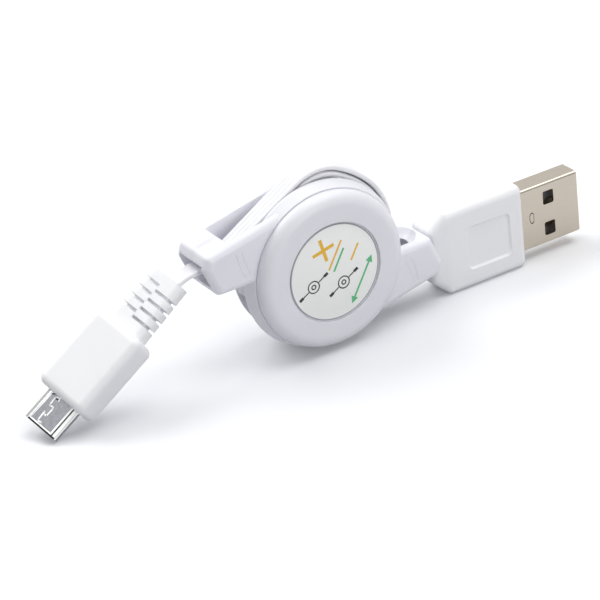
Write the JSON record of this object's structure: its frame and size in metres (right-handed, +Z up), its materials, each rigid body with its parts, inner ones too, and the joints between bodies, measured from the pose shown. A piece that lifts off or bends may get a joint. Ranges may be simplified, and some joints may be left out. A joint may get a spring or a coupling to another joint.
{
  "type": "retractable charging cable",
  "caption": "Retractable charging cable: a round white reel with two cord arms, a flat ribbon cord on a sprung spool, a type A plug on one side and a micro B plug on the other.",
  "frame": {"origin": "the point on the table below the reel's axis, midway between the two caps", "axes": "+X towards the charger plug along the cord's pull, +Y from the labelled cap to the plain cap along the reel's axis, +Z up"},
  "size_m": [0.1096, 0.015, 0.0322],
  "materials": {
    "housing": "white moulded plastic, satin gloss",
    "cap": "white moulded plastic, satin gloss",
    "label": "pale printed film",
    "steel": "bare steel",
    "spool": "white moulded plastic",
    "cord": "white soft vinyl, ribbed",
    "grip": "white moulded vinyl, fine satin",
    "plated_steel": "nickel-plated folded steel",
    "insulator": "black moulded plastic",
    "contact": "gold-plated brass"
  },
  "bodies": {
    "housing": {"front_shell": "housing", "rear_shell": "housing", "front_cap": "cap", "rear_cap": "cap", "front_label": "label", "centre_screw": "steel", "lock_ball": "steel", "return_spring": "steel", "charger_lead": "cord", "phone_lead": "cord"},
    "spool": {"spool_drum": "spool", "cam_plate": "spool", "cable_winding": "cord"},
    "charger_plug": {"charger_plug_grip": "grip", "charger_plug_shell": "plated_steel", "charger_plug_insulator": "insulator", "charger_plug_contacts": "contact"},
    "phone_plug": {"phone_plug_grip": "grip", "phone_plug_shell": "plated_steel", "phone_plug_insulator": "insulator", "phone_plug_contacts": "contact", "phone_plug_latches": "plated_steel"}
  },
  "joints": [
    {"name": "charger_plug_pull", "type": "slide", "parent": "housing", "child": "charger_plug", "axis": [1, 0, 0], "range_m": [0, 0.2126], "deforming": ["charger_lead"]},
    {"name": "phone_plug_pull", "type": "slide", "parent": "housing", "child": "phone_plug", "axis": [-1, 0, 0], "range_m": [0, 0.2127], "deforming": ["phone_lead"]},
    {"name": "spool_turn", "type": "hinge", "parent": "housing", "child": "spool", "pos_m": [0, 0, 0.0152], "axis": [0, -1, 0], "range_deg": [0, 1402], "stiffness_Nm_per_rad": 0.00012, "deforming": ["return_spring"]}
  ],
  "couplings": [
    {"joint": "phone_plug_pull", "follows": "charger_plug_pull", "ratio": 1},
    {"joint": "spool_turn", "follows": "charger_plug_pull", "rad_per_m": 114.94}
  ]
}
